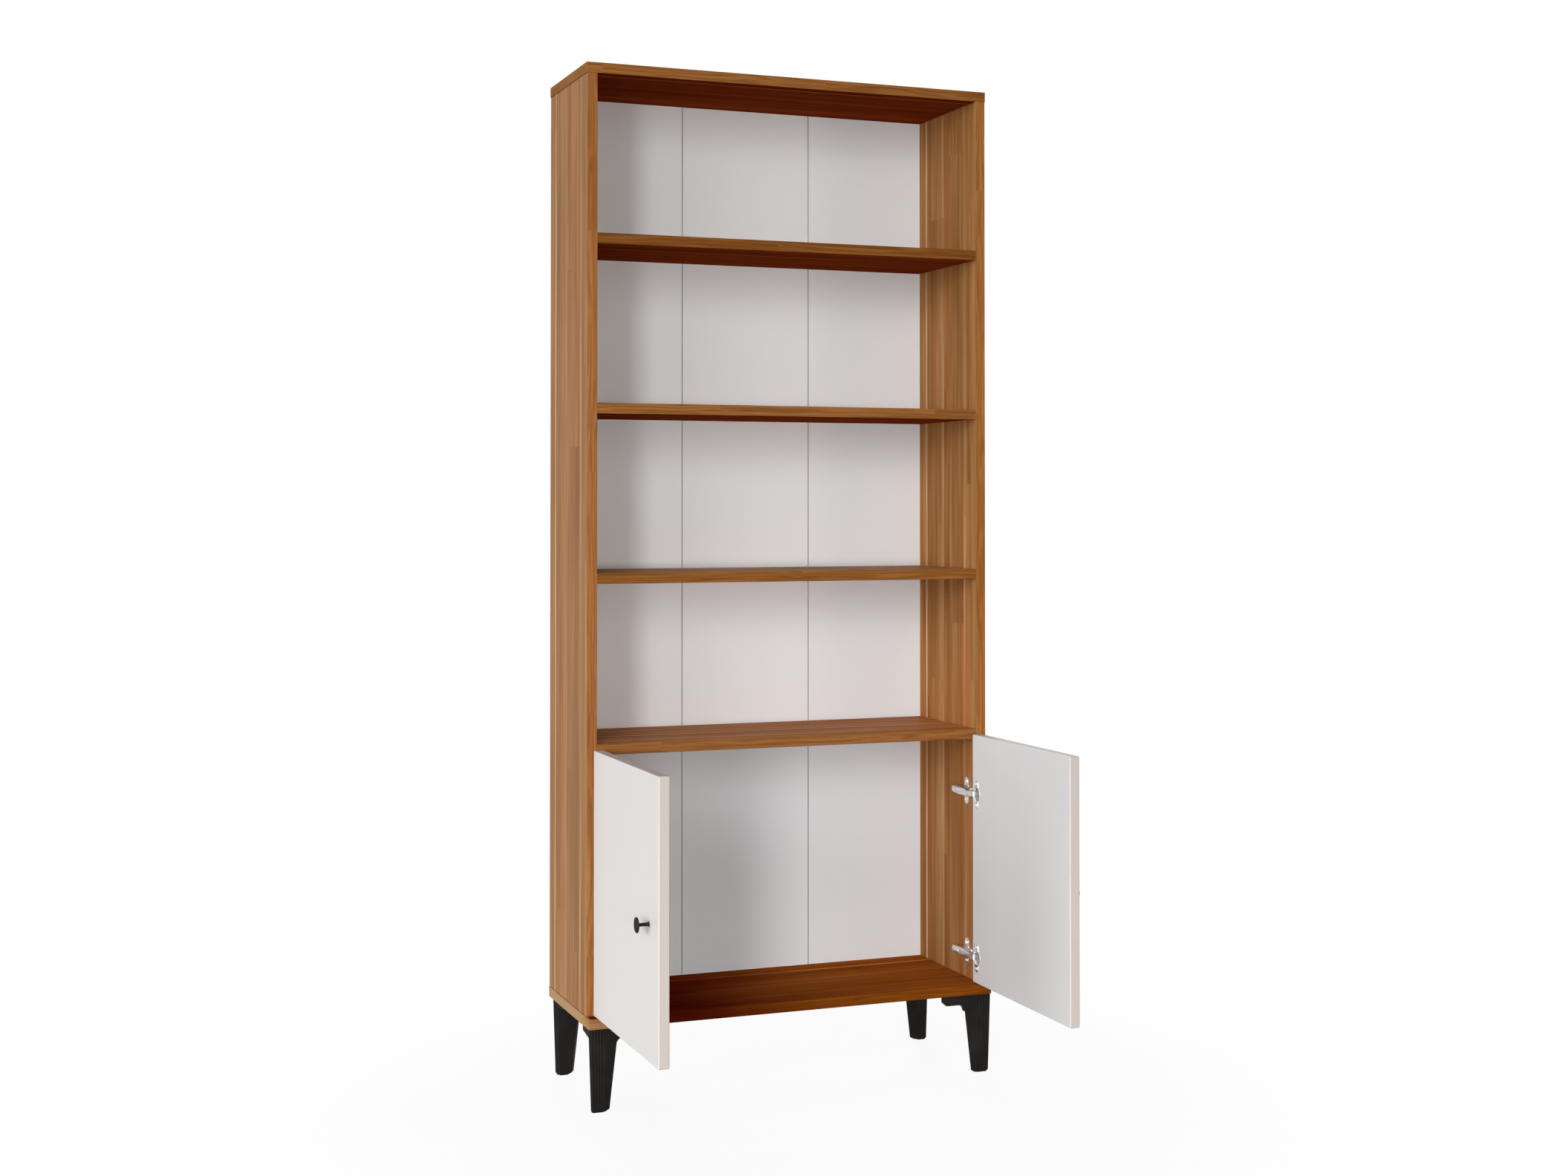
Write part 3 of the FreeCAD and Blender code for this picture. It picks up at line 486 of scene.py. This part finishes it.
nickel, zinc, knobMetal = [metal(name, *look) for name, look in metals.items()]
for name in nodes:
    if "hinge" in name and name.endswith(("cup", "arm", "plate")):
        dress(nickel, name)
    elif name.endswith(("screws", "pins", "nails", "bolts", "locks", "stud")):
        dress(zinc, name)
    elif name.endswith("knob"):
        dress(knobMetal, name)
print("legs and metal dressed")


# New pieces: rings of points worked out as whole arrays

tiny = 1e-6  # keeps divisors from zero, and welds the points that close poles and ends
sharpAngle = math.radians(32.0)


def ringed(centre, axis, up, along, radius, angles):
    # centre + axis * along + radius * (up * cosine + side * sine), for every row and angle
    axis, up = np.array(axis, float), np.array(up, float)
    along, radius, angles = np.broadcast_arrays(along, radius, angles)
    around = np.cos(angles)[..., None] * up + np.sin(angles)[..., None] * np.cross(axis, up)
    return np.array(centre) + along[..., None] * axis + radius[..., None] * around


def ringFaces(rows, columns):  # quads between neighbouring rings
    corner = np.arange(rows * columns).reshape(rows, columns)
    beside = np.roll(corner, -1, axis=1)
    return np.stack([corner[:-1], beside[:-1], beside[1:], corner[1:]], axis=-1).reshape(-1, 4)


def fullTurn(steps):
    return np.arange(steps) * (2 * np.pi / steps)


def column(*values):  # one value for each ring
    return np.array(values, float)[:, None]


def corners(name):  # lowest and highest corner of a node
    return [np.array(corner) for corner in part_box(name)]


def makePiece(name, shells, finish, body, slot, *replaced):  # one mesh of closed shells, on a body
    starts = np.cumsum([0] + [shell.shape[0] * shell.shape[1] for shell in shells])
    points = np.concatenate([shell.reshape(-1, 3) for shell in shells])
    faces = np.concatenate([ringFaces(*shell.shape[:2]) + start for shell, start in zip(shells, starts)])
    mesh = bpy.data.meshes.new(name)
    mesh.from_pydata(points.tolist(), [], faces.tolist())
    solid = bmesh.new()
    solid.from_mesh(mesh)
    bmesh.ops.remove_doubles(solid, verts=solid.verts, dist=tiny)
    bmesh.ops.recalc_face_normals(solid, faces=solid.faces)
    solid.to_mesh(mesh)
    solid.free()
    mesh.shade_smooth()
    mesh.set_sharp_from_angle(angle=sharpAngle)
    mesh.materials.append(finish)
    made = bpy.data.objects.new(name, mesh)
    scene.collection.objects.link(made)
    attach(made, body)
    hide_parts(*replaced)


def solidBoxes(name):  # lowest and highest corner of each separate solid in a node
    mesh = nodes[name].data
    points = np.empty(len(mesh.vertices) * 3)
    mesh.vertices.foreach_get("co", points)
    points = points.reshape(-1, 3)
    label = np.unique(points.round(decimals=6), axis=0, return_inverse=True)[1].reshape(-1)
    ends = np.empty(len(mesh.loops), int)
    mesh.loops.foreach_get("vertex_index", ends)
    triangles = label[ends].reshape(-1, 3)
    group, before = np.arange(label.max() + 1), None
    while before is None or (group != before).any():  # the lowest label spreads over each solid
        before = group.copy()
        np.minimum.at(group, triangles, group[triangles].min(axis=1)[:, None])
    group = group[label]
    return [(points[group == one].min(axis=0), points[group == one].max(axis=0)) for one in np.unique(group)]


# Screws, cam locks and nails: a domed head with a cross recess on a plain shank

halfHeight = 0.95  # tie screws and cam locks face away from here, up or down


def towardsMiddle(spot):
    return np.array((-np.sign(spot[0]), 0.0, 0.0))


def downwards(spot):
    return np.array((0.0, 0.0, -1.0))


def backwards(spot):
    return np.array((0.0, 1.0, 0.0))


def awayFromHalfHeight(spot):
    return np.array((0.0, 0.0, np.sign(spot[2] - halfHeight)))


panHead = {
    "head": 0.0014, "shank": 0.00175, "dome": 0.0005,  # head height, shank radius, fall of the dome
    "reach": 0.0021, "slot": 0.0005, "depth": 0.0009,  # half length, half width and depth of the cross
    "soft": 0.4,  # its soft edge, as a share of the half width
    "rings": 17, "steps": 48,
}
tieHead = dict(panHead, head=0.002, shank=0.0025, reach=0.0028, slot=0.0007)
camHead = dict(panHead, head=0.0115, shank=0.0068, dome=0.0002, reach=0.0044, slot=0.0009, depth=0.0022)
nailHead = dict(panHead, head=0.0008, shank=0.0007, dome=0.0004, depth=0.0, rings=4, steps=14)
fasteners = {  # node: (way its heads face, body, sizes)
    "hinge_plate_screws": (towardsMiddle, "case", panHead),
    "hinge_rail_screws": (towardsMiddle, "case", panHead),
    "left_cup_screws": (towardsMiddle, "left_door", panHead),
    "right_cup_screws": (towardsMiddle, "right_door", panHead),
    "leg_screws": (downwards, "case", panHead),
    "tie_screws": (awayFromHalfHeight, "case", tieHead),
    "cam_locks": (awayFromHalfHeight, "case", camHead),
    "back_nails": (backwards, "case", nailHead),
}


def fastener(low, high, way, look):
    # a dome sinks with the square of the radius, less a cross: two crossing bars with soft edges
    along = np.abs(way)
    length = ((high - low) * along).sum()
    headRadius = ((high - low) * (1 - along)).max() / 2
    share = np.linspace(0, 1, look["rings"])[:, None]
    angles = fullTurn(look["steps"])
    across, over = share * headRadius * np.cos(angles), share * headRadius * np.sin(angles)
    edge = look["slot"] * look["soft"]

    def within(limit, distance):  # 1 inside the limit and 0 outside, half way on it
        return np.clip((limit - np.abs(distance)) / edge + 0.5, 0, 1)

    cross = np.maximum(within(look["slot"], across) * within(look["reach"], over),
                       within(look["slot"], over) * within(look["reach"], across))
    crown = -look["dome"] * share ** 2 - look["depth"] * cross
    body = column(-look["head"], -look["head"], look["shank"] - length, -length)
    bodyRadius = column(headRadius, look["shank"], look["shank"], 0.0)
    rows = np.concatenate([crown, np.broadcast_to(body, (len(body), look["steps"]))])
    return ringed((low + high) / 2 + way * length / 2, way, np.roll(along, 1), rows,
                  np.concatenate([share * headRadius, bodyRadius]), angles)


for name, (facing, body, look) in fasteners.items():
    shells = [fastener(low, high, facing((low + high) / 2), look) for low, high in solidBoxes(name)]
    makePiece(name + "_turned", shells, zinc, body, "screw_steel", name)
print("fasteners made")


# Knobs: a flared foot, a slim stem and a thin disc, turned in one piece

knobShape = {
    "stem": 0.00275, "foot": 0.0045, "flare": 0.0034, "footPower": 2.4,  # stem and foot radius, foot height
    "neck": 0.0064, "throat": 0.0042, "throatPower": 2.6,  # radius under the disc, throat height
    "rim": 0.0011, "dish": 0.0005, "rows": 10, "rimRows": 11, "steps": 64,
}


def knobShell(low, high, outward):
    # the radius falls with a power of the height at the foot and rises with one at the throat;
    # the rim is a half circle, and the face dips by a half cosine
    shape = knobShape
    reach = high[0] - low[0]
    share = np.linspace(0, 1, shape["rows"])
    bend = np.linspace(-np.pi / 2, np.pi / 2, shape["rimRows"])
    flat = (high[2] - low[2]) / 2 - shape["rim"]
    along = [[0.0], share * shape["flare"], reach - 3 * shape["rim"] - shape["throat"] * (1 - share),
             [reach - 2 * shape["rim"]], reach - shape["rim"] * (1 - np.sin(bend)),
             reach - shape["dish"] * (1 - np.cos(share * np.pi)) / 2]
    radius = [[0.0], shape["stem"] + (shape["foot"] - shape["stem"]) * (1 - share) ** shape["footPower"],
              shape["stem"] + (shape["neck"] - shape["stem"]) * share ** shape["throatPower"], [flat],
              flat + shape["rim"] * np.cos(bend), flat * (1 - share)]
    start = ((high if outward < 0 else low)[0], (low[1] + high[1]) / 2, (low[2] + high[2]) / 2)
    return ringed(start, (outward, 0, 0), (0, 0, 1), np.concatenate(along)[:, None],
                  np.concatenate(radius)[:, None], fullTurn(shape["steps"]))


for hand, outward in (("left", -1), ("right", 1)):
    knob = hand + "_knob"
    shells = [knobShell(*corners(knob), outward)]
    makePiece(knob + "_turned", shells, knobMetal, hand + "_door", "knob_metal", knob)
print("knobs made")


# Hinges: a deep-drawn cup with a flange, a pressed arm with a raised sleeve, and a cross-shaped plate

hinge = {
    "bowl": 0.013, "wall": 0.0008, "hollow": 0.01525,  # outer radius, wall and inner depth of the cup
    "round": 0.002,  # bevel round its floor
    "lip": (  # out from the inside of the bowl, height
        (0.0, -0.0006), (0.0004, 0.0002), (0.001, 0.0002), (0.0016, -0.0001)),
    "rim": 0.014, "flange": 0.0010, "earRadius": 0.007, "earSpan": 0.019,
    "cheekInner": 0.00485, "cheekOuter": 0.0066, "cheekSteps": 48,
    "armLength": 0.069, "sheet": 0.0016, "bend": 0.0028, "bendRows": 7, "channel": 0.008,
    "bodyStart": 0.026, "bodyInset": 0.0008,  # the body starts this far before the rear, under the sleeve
    "tail": (  # before the rear, narrower, lower walls, drop
        (0.004, 0.0, 0.0, 0.0), (0.001, 0.0008, 0.001, 0.0), (0.0, 0.0018, 0.002, 0.0004)),
    "sleeve": 0.0007, "sleeveEnd": 0.047,  # rise over the body, length
    "sleeveSpare": 0.0001,  # its inner face stops this short of the body's
    "noseReach": 0.0015, "noseSide": 0.0018, "noseWall": 0.0036, "noseDrop": 0.0002,
    "taperEnd": 0.004, "taperInset": 0.0022, "taperWall": 0.0060, "fullFrom": 0.010,
    "tongue": 0.0045, "tongueStart": 0.006, "tongueBend": 0.003, "tongueRows": 9,
    "eye": 0.0024, "bore": 0.0013, "eyeSteps": 32,
    "plate": 0.0025, "plateBefore": 0.013, "plateBehind": 0.025, "plateHalf": 0.008, "wingRadius": 0.007,
    "wingSpan": 0.018, "railHalf": 0.0055, "railInset": 0.004, "railFoot": 0.001, "soft": 0.0005,
    "steps": 96, "filletPower": 24.0,
}


def capsuleReach(angles, span, radius):
    # distance from the middle to the edge of a round-ended bar that lies along the angle's zero
    cosine, sine = np.abs(np.cos(angles)), np.abs(np.sin(angles))
    side = radius / np.maximum(sine, tiny)
    end = span * cosine + np.sqrt(np.maximum((span * cosine) ** 2 - span ** 2 + radius ** 2, 0))
    return np.where(side * cosine <= span, side, end)


def barReach(angles, half, before, behind):
    # the same for a square-ended bar that lies across it
    cosine, sine = np.cos(angles), np.sin(angles)
    end = np.where(sine > 0, behind, before) / np.maximum(np.abs(sine), tiny)
    return np.minimum(half / np.maximum(np.abs(cosine), tiny), end)


def merged(*reaches):  # union of outlines with slightly filled corners: a root of the sum of high powers
    power = hinge["filletPower"]
    return sum(reach ** power for reach in reaches) ** (1 / power)


def hingeCup(low, high, inward):
    # rings (radius, height over the door's face) from the middle of the floor up the inside of the bowl,
    # over the lip to the outline of the ears, under the flange, and down the outside to the middle
    sizes = hinge
    angles = fullTurn(sizes["steps"])
    ears = merged(capsuleReach(angles, sizes["earSpan"], sizes["earRadius"]), sizes["rim"] + 0 * angles)
    depth = high[0] - low[0]
    inner = sizes["bowl"] - sizes["wall"]
    rows = [(0.0, -sizes["hollow"]), (inner - sizes["round"], -sizes["hollow"])]
    rows += [(inner, sizes["round"] - sizes["hollow"])]
    rows += [(inner + out, height) for out, height in sizes["lip"]]
    rows += [(ears - sizes["soft"], 0.0), (ears, -sizes["soft"]), (ears, -sizes["flange"])]
    rows += [(sizes["bowl"], -sizes["flange"]), (sizes["bowl"], sizes["round"] - depth)]
    rows += [(sizes["bowl"] - sizes["round"], -depth), (0.0, -depth)]
    centre = ((high if inward > 0 else low)[0], (low[1] + high[1]) / 2, (low[2] + high[2]) / 2)
    return ringed(centre, (inward, 0, 0), (0, 0, 1), column(*[height for radius, height in rows]),
                  np.stack([radius + 0 * angles for radius, height in rows]), angles)


def hingeCheeks(low, high, inward, pin):
    # two tabs that hold the pin: round above it, straight down to the floor of the cup below it
    sizes = hinge
    angles = fullTurn(sizes["cheekSteps"])
    cosine, sine = np.cos(angles), np.abs(np.sin(angles))
    floorDepth = sizes["hollow"] - abs((high if inward > 0 else low)[0] - pin[0])
    straight = np.minimum(sizes["eye"] / np.maximum(sine, tiny), floorDepth / np.maximum(-cosine, tiny))
    reach = np.where(cosine > 0, sizes["eye"], straight)
    rows = np.stack([0 * reach, reach, reach, 0 * reach])
    along = column(sizes["cheekInner"], sizes["cheekInner"], sizes["cheekOuter"], sizes["cheekOuter"])
    centre = (pin[0], pin[1], (low[2] + high[2]) / 2)
    return [ringed(centre, (0, 0, side), (inward, 0, 0), along, rows, angles) for side in (-1, 1)]


def hingePlate(low, high, inward):
    # two slabs: the union of a bar and a round-ended wing, and on it a narrower bar, the rail
    sizes = hinge
    angles = fullTurn(sizes["steps"])
    outline = merged(capsuleReach(angles, sizes["wingSpan"], sizes["wingRadius"]),
                     barReach(angles, sizes["plateHalf"], sizes["plateBefore"], sizes["plateBehind"]))
    rail = barReach(angles, sizes["railHalf"],
                    sizes["plateBefore"] - sizes["railInset"], sizes["plateBehind"] - sizes["railInset"])
    foot = ((low if inward > 0 else high)[0], low[1] + sizes["plateBefore"], (low[2] + high[2]) / 2)

    def slab(edge, bottom, top):  # straight sides and a softened upper edge
        along = column(bottom, bottom, top - sizes["soft"], top, top)
        rows = np.stack([0 * edge, edge, edge, edge - sizes["soft"], 0 * edge])
        return ringed(foot, (inward, 0, 0), (0, 0, inward), along, rows, angles)

    return [slab(outline, 0.0, sizes["plate"]), slab(rail, sizes["railFoot"], high[0] - low[0])]


def channelPath(half, wall, bend):
    # up one wall, round a quarter bend, over the web, and down the other side: (height below the web, across)
    turn = np.linspace(0, np.pi / 2, hinge["bendRows"])
    depth = np.concatenate([[wall], bend - bend * np.sin(turn)])
    across = np.concatenate([[half], half - bend + bend * np.cos(turn)])
    return np.stack([np.concatenate([depth, depth[::-1]]), np.concatenate([across, -across[::-1]])])


def channel(stations, sheet, place):
    # a folded sheet: the outer path, then the inner one back, at each station along the arm;
    # at both ends the two paths meet half way
    rings = []
    for y, half, wall, lift in stations:
        outer = channelPath(half, wall, hinge["bend"])
        inner = channelPath(half - sheet, wall, hinge["bend"] - sheet) + [[sheet], [0]]
        inner[0] = np.minimum(inner[0], wall)
        rings.append((y, lift, outer, inner))
    first, last = [(y, lift, (outer + inner) / 2, (outer + inner) / 2)
                   for y, lift, outer, inner in (rings[0], rings[-1])]
    loops = [(y, lift, np.concatenate([outer, inner[:, ::-1]], axis=1))
             for y, lift, outer, inner in [first, *rings, last]]
    return np.stack([place(lift - depth, y, across) for y, lift, (depth, across) in loops])


def hingeArm(low, high, inward, pin):
    # two folded channels, the body and the sleeve round its front, then a bent strip and a ring for the pin
    sizes = hinge
    web = (high if inward > 0 else low)[0]
    middle, half = (low[2] + high[2]) / 2, (high[2] - low[2]) / 2
    rear = high[1]
    front = rear - sizes["armLength"]

    def place(rise, y, z):
        return np.stack(np.broadcast_arrays(web + inward * rise, y, middle + z), axis=-1)

    bodyHalf = half - sizes["bodyInset"]
    tail = [(rear - before, bodyHalf - narrower, sizes["channel"] - lower, -drop)
            for before, narrower, lower, drop in sizes["tail"]]
    bodyFront = (rear - sizes["bodyStart"], bodyHalf, sizes["channel"], 0.0)
    body = channel([bodyFront, *tail], sizes["sheet"], place)
    lift = sizes["sleeve"]
    noseHalf = sizes["tongue"] + sizes["noseSide"]
    sleeve = channel([(front - sizes["noseReach"], noseHalf, sizes["noseWall"], -sizes["noseDrop"]),
                      (front + sizes["taperEnd"], half - sizes["taperInset"], sizes["taperWall"], lift),
                      (front + sizes["fullFrom"], half, sizes["channel"], lift),
                      (front + sizes["sleeveEnd"], half, sizes["channel"], lift)],
                     sizes["sheet"] + lift - sizes["sleeveSpare"], place)

    # tongue: a flat strip that runs forward, bends down and ends in the eye round the pin
    bend = np.linspace(0, np.pi / 2, sizes["tongueRows"])
    radius = sizes["tongueBend"]
    level = web - inward * sizes["sheet"] / 2
    start = front + sizes["tongueStart"]
    pathX = np.concatenate([[0.0], -radius + radius * np.cos(bend), [(pin[0] - level) * inward]])[:, None]
    pathY = np.concatenate([[start], pin[1] + radius - radius * np.sin(bend), [pin[1]]])[:, None]
    outX = np.concatenate([[1.0], np.cos(bend), [0.0]])[:, None]
    outY = np.concatenate([[0.0], -np.sin(bend), [-1.0]])[:, None]
    thick = np.array([1, -1, -1, 1]) * sizes["sheet"] / 2
    wide = np.array([1, 1, -1, -1]) * sizes["tongue"]
    strip = np.stack(np.broadcast_arrays(
        level + inward * (pathX + outX * thick), pathY + outY * thick, middle + wide), axis=-1)
    ends = np.repeat(strip.mean(axis=1, keepdims=True), len(thick), axis=1)
    strip = np.concatenate([ends[:1], strip, ends[-1:]])
    along = column(-1, -1, 1, 1, -1) * sizes["tongue"]
    reach = column(sizes["bore"], sizes["eye"], sizes["eye"], sizes["bore"], sizes["bore"])
    eye = ringed((pin[0], pin[1], middle), (0, 0, 1), (1, 0, 0), along, reach, fullTurn(sizes["eyeSteps"]))
    return [body, sleeve, strip, eye]


for hand, inward in (("left", 1), ("right", -1)):
    pin = sum(corners(hand + "_hinge_pins")) / 2
    for level in ("lower", "upper"):
        stem = f"{hand}_{level}_hinge_"
        cup, arm, plate = [corners(stem + part) for part in ("cup", "arm", "plate")]
        shells = [hingeCup(*cup, inward)] + hingeCheeks(*cup, inward, pin)
        makePiece(stem + "cup_drawn", shells, nickel, hand + "_door", "hinge_steel", stem + "cup")
        shells = hingeArm(*arm, inward, pin)
        makePiece(stem + "arm_pressed", shells, nickel, "case", "hinge_steel", stem + "arm")
        shells = hingePlate(*plate, inward)
        makePiece(stem + "plate_cast", shells, nickel, "case", "hinge_steel", stem + "plate")
print("hinges made")


# Studio: pale floor, white surroundings, soft light from the front left

white = (1.0, 1.0, 1.0)
studio = {
    "floorSize": 60.0, "floorBounce": (0.465, 0.435, 0.40), "floorShown": (0.94, 0.94, 0.94),
    "shadow": 0.07, "shadowReach": (0.5, 1.1),  # strength of the shadow, and where it fades out
    "ambient": 0.03,
}


def seenDirectly(sh):  # camera, mirror and glass rays meet plain white
    path = sh.make("ShaderNodeLightPath", {}, (), {})
    camera, glossy, glass = [Value(sh, path.outputs[key]) for key in (
        "Is Camera Ray", "Is Glossy Ray", "Is Transmission Ray")]
    return camera.larger(glossy.larger(glass))


def floorMaterial():
    # light bounces off a matt floor; seen directly it glows white, with a share of lit matt near the object
    sh = Shader("studio_floor")
    x, y, z = sh.axes(sh.coordinate("Object"))
    far = (x * x + y * y).root().ramp(*studio["shadowReach"])
    matt = sh.node("ShaderNodeBsdfDiffuse", None, Color=studio["floorBounce"])
    glow = sh.node("ShaderNodeEmission", None, Color=white, Strength=1.0)
    lit = sh.node("ShaderNodeBsdfDiffuse", None, Color=studio["floorShown"])
    shown = sh.node("ShaderNodeMixShader", None, (1.0 - far) * studio["shadow"], glow, lit)
    sh.output(sh.node("ShaderNodeMixShader", None, seenDirectly(sh), matt, shown))
    return sh.material


half = studio["floorSize"] / 2
floorCorners = [(-half, -half, 0), (half, -half, 0), (half, half, 0), (-half, half, 0)]
floorMesh = bpy.data.meshes.new("studio_floor")
floorMesh.from_pydata(floorCorners, [], [(0, 1, 2, 3)])
floorMesh.materials.append(floorMaterial())
floorPlane = bpy.data.objects.new("studio_floor", floorMesh)
scene.collection.objects.link(floorPlane)

world = bpy.data.worlds.new("studio")
scene.world = world
sky = Shader(world)
strength = studio["ambient"] + seenDirectly(sky) * (1.0 - studio["ambient"])
sky.output(sky.node("ShaderNodeBackground", None, Color=white, Strength=strength))

# Lamps stand on a ball round the middle of the object, and the front ones in a low and a high row
lampSet = {
    "middle": (0.0, 0.15, 0.95), "distance": 12.0, "spread": 60.0,
    "aim": (0.0, 0.15, -0.6),  # below the floor, so that the narrow beams give the top a little less
    "rows": {"low": (-0.9, 1.0), "high": (10.5, 4.2)},  # elevation, height
}
warmWhite = (1.0, 0.77, 0.54)
frontLamps = {  # azimuth to the left of the front, width, watts in the low row, watts in the high row, colour
    "right": (-40.0, 2.6, 16.0, 1.0, warmWhite),
    "front": (12.0, 2.6, 36.0, 12.0, white),
    "key": (33.0, 1.8, 26.0, 40.0, white),
    "left": (56.0, 5.0, 17.0, 49.0, white),
    "side": (82.0, 2.6, 6.0, 31.0, white),
}
lamps = {  # azimuth, elevation, width, height, watts, colour
    "top": (26.0, 50.0, 3.0, 3.0, 20.0, white),
    "far_side": (-97.0, 14.0, 3.0, 3.6, 44.0, white),
    "rear": (-165.0, 30.0, 3.0, 3.6, 66.0, white),
}
for name, (azimuth, width, *watts, colour) in frontLamps.items():
    for (row, (elevation, height)), power in zip(lampSet["rows"].items(), watts):
        lamps[f"{row}_{name}"] = (azimuth, elevation, width, height, power, colour)
for name, (azimuth, elevation, width, height, watts, colour) in lamps.items():
    lamp = bpy.data.lights.new(name + "_lamp", "AREA")
    lamp.shape = "RECTANGLE"
    lamp.size = width
    lamp.size_y = height
    lamp.energy = watts
    lamp.color = colour
    lamp.spread = math.radians(lampSet["spread"])
    holder = bpy.data.objects.new(name + "_lamp", lamp)
    scene.collection.objects.link(holder)
    turn, tilt = math.radians(azimuth), math.radians(elevation)
    away = Vector((-math.sin(turn) * math.cos(tilt), -math.cos(turn) * math.cos(tilt), math.sin(tilt)))
    holder.location = Vector(lampSet["middle"]) + away * lampSet["distance"]
    holder.rotation_euler = (holder.location - Vector(lampSet["aim"])).to_track_quat("Z", "Y").to_euler()

cameraView = {
    "place": (-1.3306, -3.3687, 1.0210), "turn": (90.834, 0.0, -20.953), "lens": 48.017, "sensor": 36.0,
    "shift": -0.0719,
}
cameraData = bpy.data.cameras.new("camera")
cameraData.lens = cameraView["lens"]
cameraData.sensor_width = cameraView["sensor"]
cameraData.shift_y = cameraView["shift"]
camera = bpy.data.objects.new("camera", cameraData)
camera.location = cameraView["place"]
camera.rotation_euler = [math.radians(angle) for angle in cameraView["turn"]]
scene.collection.objects.link(camera)
scene.camera = camera
print("studio set")
